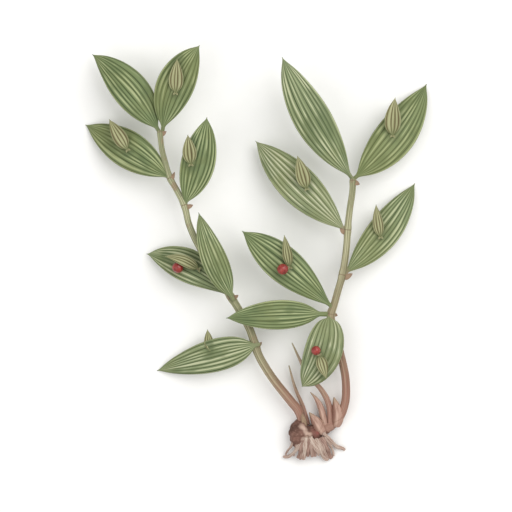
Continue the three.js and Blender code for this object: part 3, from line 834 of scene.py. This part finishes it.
# Foot, tip and width of each. The last is an old scale beside the left stem's foot.
BRACTS = [
    ((-60, 39.5, 26), (-53.4, 42, 28), 4), ((-81, 101, 25), (-76, 104.5, 27.5), 3.6),
    ((83, 61.5, 25.5), (88, 59.5, 27.5), 4), ((64.6, -50.5, 16.5), (69.5, -52, 16), 3.6),
    ((-72, 62, 27), (-69, 70, 29), 3), ((-20, -38, 22), (-15, -34.5, 23.5), 3.4),
    ((0.5, -79, 17.5), (5, -74.5, 19.5), 3.4), ((74.5, -20.5, 22.4), (82, -16.2, 23), 4.6),
    ((75.2, 17.8, 25), (71.3, 22.2, 26), 3.4), ((42, -147.5, 11.5), (39, -134, 14), 3.6),
]
BRACT_ROWS, BRACT_COLUMNS = 24, 12
for number, (foot, tip, width) in enumerate(BRACTS, 1):
    spec = {**BRACT, "foot": foot, "tip": tip, "width": width}
    mesh = leaf_mesh(f"bract_{number}", spec, BRACT_ROWS, BRACT_COLUMNS, number / 13)
    add_piece(mesh, BRACT_PAPER, "stem")
print("bracts", len(BRACTS))

# %% Bractlets
# A pair at each tongue's foot, pointing back along the blade and to either side of the tongue.
# The youngest tongue, which is the narrowest, has none.
BRACTLET = {**BRACT, "width": 1.7, "stalk": 1.0, "rise": 0.5, "thick": 0.25, "round": 0.35,
            "root": 0.2}
BRACTLET_ROWS, BRACTLET_COLUMNS, BRACTLET_GROWTH = 16, 8, 0.3
youngest = min(tongues, key=lambda name: tongues[name]["width"])
for name, tongue in tongues.items():
    if name == youngest:
        continue
    foot, tip = np.array(tongue["foot"]), np.array(tongue["tip"])
    back = unit((foot - tip) * (1, 1, 0))
    for side in (-1, 1):
        aside = side * np.cross(UP, back)
        start = foot + 0.7 * UP + 0.3 * aside
        spec = {**BRACTLET, "foot": start, "tip": start + 1.9 * back + 1.8 * aside + 0.9 * UP}
        mesh = leaf_mesh(f"bractlet_{name}_{'ab'[side > 0]}", spec, BRACTLET_ROWS,
                         BRACTLET_COLUMNS, BRACTLET_GROWTH)
        add_piece(mesh, TONGUE_SKIN, "blade")
print("bractlets", 2 * (len(tongues) - 1))

# %% [markdown]
# ## Berries
#
# A berry is a little wider than tall, dimpled where its stalk joins, with a dark dot at the far
# end where the flower's style was. It is a profile turned about the berry's own axis, which leans
# away from the tongue. The finish is a clear coat over a red that deepens towards the stalk.

# %% Berry finish
def berry_skin():
    f = Finish("berry_skin", Coat_Weight=0.25, Coat_Roughness=0.2, Specular_IOR_Level=0.4)
    _, along = f.uv()
    cloud = f.noise(f.place(), 260, 3)
    fleck = f.noise(f.place(), 1500, 2)
    colour = f.coats(
        f.mix(cloud.between(0.3, 0.7), "#782420", "#9c372e"),
        (along.between(0.25, 0.0) * 0.55, "#7a2a28"),
        (along.between(0.955, 0.985), "#3c2018"),
        (fleck.between(0.66, 0.74) * 0.5, "#c47868"))
    return f.wear(colour, cloud * 0.15 + 0.2, fleck, 0.08 * MM, 0.5)


BERRY_SKIN = berry_skin()


def turned(centre, axis, radius, height):
    """A profile turned about an axis: place = centre + height axis + radius (cos side + sin other)
    where side and other stand on the axis, and radius and height run along the profile."""
    side = unit(np.cross(axis, (0.3, 0.9, 0.1)))
    other = np.cross(axis, side)
    circle = np.cos(ROUND)[:, None] * side + np.sin(ROUND)[:, None] * other
    return centre + height[:, None, None] * axis + radius[:, None, None] * circle


BERRY_ROWS, STALK_ROWS = 60, 40
# The way each berry hangs: from its stalk to its far end
BERRIES = {"left_6": (-0.35, -0.75, 0.35), "right_4": (0.2, -0.5, 0.55),
           "right_6": (0.1, -0.6, 0.6)}
for name, hang in BERRIES.items():
    hang = unit(np.array(hang))
    low, high = (np.array(corner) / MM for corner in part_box(f"berry_{name}"))
    centre, radius = (low + high) / 2, (high - low).max() / 2
    a = np.linspace(0.02, np.pi - 0.02, BERRY_ROWS)  # the angle from stalk to far end
    dimple = 0.1 * np.exp(-((a / 0.3) ** 2)) + 0.05 * np.exp(-(((np.pi - a) / 0.2) ** 2))
    rings = turned(centre, hang, radius * np.sin(a), -radius * 0.96 * np.cos(a) * (1 - dimple))
    add_piece(skin(f"berry_skin_{name}", rings), BERRY_SKIN, "berry", f"berry_{name}")

    foot = np.array(tongues[name]["foot"]) + 0.8 * UP
    neck = centre - 0.86 * radius * hang
    stalk = through([foot, (foot + neck) / 2 + 0.6 * UP, neck], STALK_ROWS)
    rings = rod(stalk, lambda s, angle: (0.55 + 0.35 * s**3) * closing(s, 0.08))
    mesh = skin(f"berry_stalk_{name}", rings)
    tag(mesh, "height", 0.9)
    tag(mesh, "ring", 0.0)
    add_piece(mesh, SHOOT_SKIN, "blade")
    print("berry", name, "radius", round(radius, 2), "mm, stalk", round(length_of(stalk), 1), "mm")

# %% [markdown]
# ## Rhizome
#
# The rootstock is a knob with a few side lobes grown into each other. Lumps are made as rods
# with round ends and ring scars, then fused: a voxel remesh is the way to get one skin without
# inner walls, and three smoothing passes take its steps away. Distance decides the colour: the
# second lobe is reddish, a painted highlight runs along the ridge towards the roots, and painted
# shade darkens the knob's left side.

# %% Rhizome finishes
def rhizome_bark():
    f = Finish("rhizome_bark", Specular_IOR_Level=0.25)
    place = f.place()
    lump = f.noise(place, 120, 4)
    fine = f.noise(place, 650, 5, 0.65)
    scar = f.node("TexWave", {"wave_type": "BANDS", "bands_direction": "Y"},
                  {"Vector": place, "Scale": 95.0, "Distortion": 4.0, "Detail": 3.0,
                   "Detail Scale": 2.0})

    def near(x, y, z, reach):
        """Rises to 1 while the distance from a place falls from reach to 0.4 reach."""
        far = f.node("VectorMath", {"operation": "DISTANCE"},
                     {0: place, 1: (x * MM, y * MM, z * MM)}, output="Value")
        return (far + (lump - 0.5) * 0.004).between(reach * MM, reach * 0.4 * MM)

    # places along the top of the neck where a pale highlight is painted
    painted_highlight_ridge = ((40.5, -146, 17), (43.5, -150, 16), (44.5, -154, 14), (42, -158, 15))
    colour = f.coats(
        f.mix(lump.between(0.3, 0.7), "#52382f", "#7e5c50"),
        (fine.between(0.45, 0.75) * 0.5, "#54392e"),
        (fine.between(0.5, 0.3) * 0.3, "#b08f7d"),
        (near(51, -152, 13, 6) * 0.55, "#87594f"),
        (near(52.5, -151.5, 14, 3) * 0.6, "#93514b"),
        # painted highlight along the ridge towards the roots
        *((near(*spot, 4.8) * 0.75, "#cfb4a3") for spot in painted_highlight_ridge),
        (near(63, -147, 10, 9) * 0.6, "#b08c7b"),
        *((near(x, -166, 10, 8) * 0.55, "#a87f70") for x in (38, 46, 54)),
        # painted shade on the knob's left side
        (near(29.5, -149, 9, 8) * 0.5, "#4c342b"))
    height = scar * 0.35 + lump * 0.4 + fine * 0.5
    return f.wear(colour, fine * 0.2 + 0.62, height, 0.6 * MM, 0.8)


def root_skin():
    f = Finish("root_skin", Specular_IOR_Level=0.3)
    around, along = f.uv()
    growth = f.attribute("growth")
    fibre = f.lengthwise(around * (2 * math.pi), 3.6, along * 2.5 + growth * 9)
    fine = f.noise(f.place(), 800, 3)
    dark, pale = f.mix(growth, "#644439", "#9f8172"), f.mix(growth, "#9a7467", "#cfc0b1")
    colour = f.coats(
        f.mix(fibre.between(0.38, 0.62), dark, pale),
        (along.between(0.6, 1.0) * 0.3, "#a98578"),
        (fine.between(0.6, 0.8) * 0.4, "#7a5a49"))
    return f.wear(colour, fibre * 0.2 + 0.55, fibre * 0.7 + fine * 0.3, 0.4 * MM, 0.8)


RHIZOME_BARK = rhizome_bark()
ROOT_SKIN = root_skin()
print("rhizome bark nodes:", len(RHIZOME_BARK.node_tree.nodes))

# %% Rhizome lumps
LUMP_ROWS = 90
# Points and radius of the knob, of the collar over the roots, of the second lobe, of the arm to
# the right stem, and of a small lump between the knob and the second lobe
LUMPS = [
    ([(38.5, -141, 9), (37, -151, 8), (37, -165, 6.6)], 8.6),
    ([(33, -162, 5.6), (45, -163.5, 5.4), (58, -161.5, 5.2)], 7.2),
    ([(43, -157, 6.4), (50, -153.5, 6.4), (56, -152, 6.2)], 6.6),
    ([(52, -153.5, 6), (60, -148.5, 6.2), (69, -144, 7)], 4.4),
    ([(46, -146, 7), (48, -151, 7)], 5),
]
FUSE_VOXEL = 0.45 * MM
SOFTENING = 3  # smoothing passes


def lump_rings(points, radius):
    """radius(s, angle) = radius sin(pi (0.04 + 0.92 s))^0.45 (1 + rings + lobes round it)"""
    def shape(s, angle):
        round_ends = np.sin(np.pi * (0.04 + 0.92 * s)) ** 0.45
        rings = 0.045 * np.cos(26 * s) + 0.018 * np.cos(61 * s + np.cos(angle))
        lobes = 0.04 * np.cos(3 * angle + 9 * s) + 0.025 * np.cos(7 * angle - 5 * s)
        return radius * round_ends * (1 + rings + lobes) * closing(s, 0.03)

    return rod(through(points, LUMP_ROWS), shape)


def fused(name, meshes):
    """One skin round several closed skins, from a grid of small cubes."""
    corners, triangles = zip(*(read_back(mesh) for mesh in meshes))
    starts = np.cumsum([0] + [len(c) for c in corners[:-1]])
    whole = bpy.data.meshes.new("lumps")
    whole.from_pydata(np.vstack(corners).tolist(), [],
                      np.vstack([t + start for t, start in zip(triangles, starts)]).tolist())
    maker = bpy.data.objects.new("lumps", whole)
    bpy.context.scene.collection.objects.link(maker)
    remesh = maker.modifiers.new("fuse", "REMESH")
    remesh.mode, remesh.voxel_size = "VOXEL", FUSE_VOXEL
    smooth = maker.modifiers.new("soften", "SMOOTH")
    smooth.factor, smooth.iterations = 0.5, SOFTENING
    graph = bpy.context.evaluated_depsgraph_get()
    result = bpy.data.meshes.new_from_object(maker.evaluated_get(graph))
    bpy.data.objects.remove(maker)
    result.name = name
    result.shade_smooth()
    return result


def on_table(mesh):
    """Nothing goes below the table: the lowest corners are pressed flat on it."""
    corners, _ = read_back(mesh)
    corners[:, 2] = np.maximum(corners[:, 2], 0)
    mesh.vertices.foreach_set("co", corners.ravel())
    mesh.update()


knob = fused("rhizome_skin", [skin("lump", lump_rings(*lump)) for lump in LUMPS])
on_table(knob)
add_piece(knob, RHIZOME_BARK, "rhizome", "rhizome")
print("rhizome corners", len(knob.vertices))

# %% [markdown]
# ## Roots
#
# The roots are stout, flattened cords that leave the rhizome together and fan out. They were cut
# short, so their tips are blunt. Each follows its own curve, sags to the table, and has knobs
# and a slight twist. A few thin rootlets fill the gaps.

# %% Roots
# Points (x, y), greatest half width, and how pale the root is
ROOTS = [
    ([(41.5, -156), (37, -162.4), (34, -167.2), (30.9, -170.4), (26.6, -173.2), (22.8, -172.8)],
     1.45, 0.75),
    ([(31.5, -160), (29.7, -164.2), (27, -167.6), (25.5, -171.1), (26.2, -172.6)], 0.9, 0.5),
    ([(41, -157), (38.6, -164), (37.2, -170), (35.6, -174.2)], 1.5, 0.25),
    ([(43, -155.5), (42, -163.7), (41.4, -169.4), (40.2, -175.4)], 2.1, 0.95),
    ([(40.5, -160), (39.3, -168), (37.6, -175.4)], 1.2, 0.35),
    ([(45, -158), (44.6, -166.3), (44.1, -172.6)], 1.6, 0.2),
    ([(45, -156), (47, -163), (47.8, -168), (48, -173)], 1.9, 0.45),
    ([(45.5, -155.5), (49.6, -162.4), (51.8, -166.3), (53.9, -170)], 2.3, 0.85),
    ([(47, -158), (50.2, -166), (50.6, -172.6)], 1.5, 0.3),
    ([(50, -157), (54.6, -165), (56.3, -170.3), (59.2, -174.2), (62.2, -175.6)], 1.9, 0.8),
    ([(53, -157), (57.4, -165), (58.9, -170.3), (61.6, -174.4)], 1.8, 0.6),
    ([(55, -156), (60.4, -165), (62.4, -170.3), (64.6, -174.8)], 2.1, 0.25),
    ([(58, -156), (63.5, -163), (65.6, -168), (66.4, -172.8)], 1.1, 0.7),
    ([(57, -152), (65.6, -161), (69.5, -164.6), (74.3, -166), (76.3, -167.6)], 1.7, 0.7),
    ([(35.5, -160), (33.6, -167), (32.2, -172.5)], 0.8, 0.55),
    ([(48.5, -158), (52.6, -167), (53.4, -172.2)], 0.9, 0.65),
]
ROOT_ROWS, ROOT_TOP, ROOT_DROP, ROOT_GIRTH, ROOT_FLATNESS = 90, 15.2, 12.6, 1.22, 0.72


def root_height(x, y):
    """Over the rhizome at its collar, then falling in a curve to the table."""
    away = np.clip(np.hypot(x - 45, y + 155) / 25, 0, 1)
    return ROOT_TOP - ROOT_DROP * away**2


for number, (points, half, pale) in enumerate(ROOTS, 1):
    line = through([(x, y, root_height(x, y)) for x, y in points], ROOT_ROWS)

    def radius(s, angle, half=half, number=number):
        taper = half * ROOT_GIRTH * (1 - 0.35 * s) * (1 + 0.1 * np.sin(15 * s + 2 * number))
        knobs = 1 + 0.07 * np.cos(3 * angle + 7 * s + number) + 0.03 * np.sin(48 * s + angle)
        return taper * knobs * closing(s, 0.05)

    rings = rod(line, radius, ROOT_FLATNESS)
    rings[..., 2] = np.maximum(rings[..., 2], TABLE_GAP)
    mesh = skin(f"root_{number}", rings)
    tag(mesh, "growth", pale)
    add_piece(mesh, ROOT_SKIN, "rhizome", "rhizome")
print("roots", len(ROOTS))

# %% [markdown]
# ## Buds and sheaths
#
# Next year's shoots wait on the rhizome as plump pointed buds, wrapped in scales that overlap
# like a saw's teeth. The largest wraps the foot of the right-hand stem as a sheath with a pale
# rim. They could be stacks of separate scales, but one rod whose radius steps is enough here.

# %% Buds
def bud_skin():
    f = Finish("bud_skin", Specular_IOR_Level=0.3)
    around, along = f.uv()
    angle = around * (2 * math.pi)
    fibre = f.lengthwise(angle, 3, along * 2)
    left = angle.cosine()
    rim = left.between(-0.8, -1.0) * along.between(0.12, 0.3) * f.attribute("rim")
    colour = f.coats(
        f.mix(fibre.between(0.3, 0.7), "#957062", "#c4a593"),
        (left.between(0.1, 0.9) * f.attribute("blush") * 0.75, "#74493a"),
        (rim * 0.6, "#dac5a8"),
        (f.attribute("ring").between(0.4, 0.9) * 0.6, "#806048"),
        (along.between(0.72, 1.0) * 0.5, "#8c8460"))
    return f.wear(colour, fibre * 0.2 + 0.45, fibre, 0.4 * MM, 0.7)


BUD_SKIN = bud_skin()
BUD_ROWS = 140
# Points, greatest half width, how red its left side is and how pale its right rim is
BUDS = [
    ([(57.5, -153.5, 8), (52.5, -144.5, 9.5), (45.2, -134.5, 9.5)], 4.4, 0.6, 0.2),
    ([(59.9, -149, 7), (56.3, -134, 7.5), (52.7, -125.2, 8), (46.1, -117.2, 8)], 2.8, 0.2, 0.3),
    ([(68.4, -147, 7.5), (70, -137.5, 10.2), (66.4, -121.5, 11.5)], 4.8, 1.0, 1.0),
]


def scale_share(s, angle):
    """How far through its scale a place is, from 0 at a scale's foot to 1 at its edge."""
    return (2.6 * s + 0.35 * np.cos(angle) + 0.3) % 1


for number, (points, greatest, blush, rim) in enumerate(BUDS, 1):
    def radius(s, angle, greatest=greatest):
        """radius = greatest (sin(pi (0.2 + 0.8 s)) (1.02 - 0.1 share^4) + 0.06)"""
        steps = 1.02 - 0.1 * scale_share(s, angle) ** 4
        return greatest * (np.sin(np.pi * (0.2 + 0.8 * s)) * steps + 0.06) * closing(s, 0.03)

    mesh = skin(f"bud_{number}", rod(through(points, BUD_ROWS), radius))
    share = scale_share(np.linspace(0, 1, BUD_ROWS)[:, None], ROUND)
    tag(mesh, "ring", np.r_[np.clip((share - 0.88) * 9, 0, 1).ravel(), 0, 0])
    tag(mesh, "blush", blush)
    tag(mesh, "rim", rim)
    add_piece(mesh, BUD_SKIN, "rhizome", "rhizome")
print("buds", len(BUDS))

# %% [markdown]
# ## Table and light
#
# The table is plain and almost white. One large soft light stands to the upper right, low enough
# to rake over the ribs, and a weak one opposite keeps the shaded halves green. The world fills
# the rest, as a white studio does.

# %% Table
def table_paint():
    f = Finish("table_paint", Specular_IOR_Level=0.1)
    tooth = f.noise(f.place(), 60, 4)
    return f.wear(f.mix(tooth, "#f3f2ef", "#f7f6f4"), tooth * 0.1 + 0.85)


TABLE_REACH, TABLE_QUADS = 4, 8
edges = np.linspace(-TABLE_REACH, TABLE_REACH, TABLE_QUADS + 1)
x, y = pairs(edges, edges)
i, j = pairs(np.arange(TABLE_QUADS), np.arange(TABLE_QUADS))
here, beyond = i * len(edges) + j, (i + 1) * len(edges) + j
table_mesh = bpy.data.meshes.new("table")
table_mesh.from_pydata(np.stack([x, y, 0 * x], axis=1).tolist(), [],
                       np.stack([here, beyond, beyond + 1, here + 1], axis=1).tolist())
table_mesh.materials.append(table_paint())
table = bpy.data.objects.new("table", table_mesh)
bpy.context.scene.collection.objects.link(table)
print("table", 2 * TABLE_REACH, "m wide")

# %% Lights
def soft_light(name, x, y, z, size, power):
    """A square light at x, y and z that faces the plant's middle."""
    light = bpy.data.lights.new(name, "AREA")
    light.shape, light.size, light.energy = "SQUARE", size, power
    holder = bpy.data.objects.new(name, light)
    holder.location = (x, y, z)
    holder.rotation_euler = (math.atan2(math.hypot(x, y), z), 0, math.atan2(-y, -x) - math.pi / 2)
    bpy.context.scene.collection.objects.link(holder)


soft_light("key_light", 1.1, 0.8, 1.9, size=2.2, power=38)
soft_light("fill_light", -1.2, -0.6, 1.9, size=2.2, power=17)
world = bpy.data.worlds.new("studio")
world.use_nodes = True
background = world.node_tree.nodes["Background"]
background.inputs["Color"].default_value = (1, 1, 1, 1)
background.inputs["Strength"].default_value = 0.6
bpy.context.scene.world = world
bpy.context.scene.view_settings.view_transform = "Standard"
print("lights", len(bpy.data.lights))

# %% [markdown]
# ## Totals
#
# How many pieces and triangles the finer skins have.

# %% The totals
print(TOTALS)
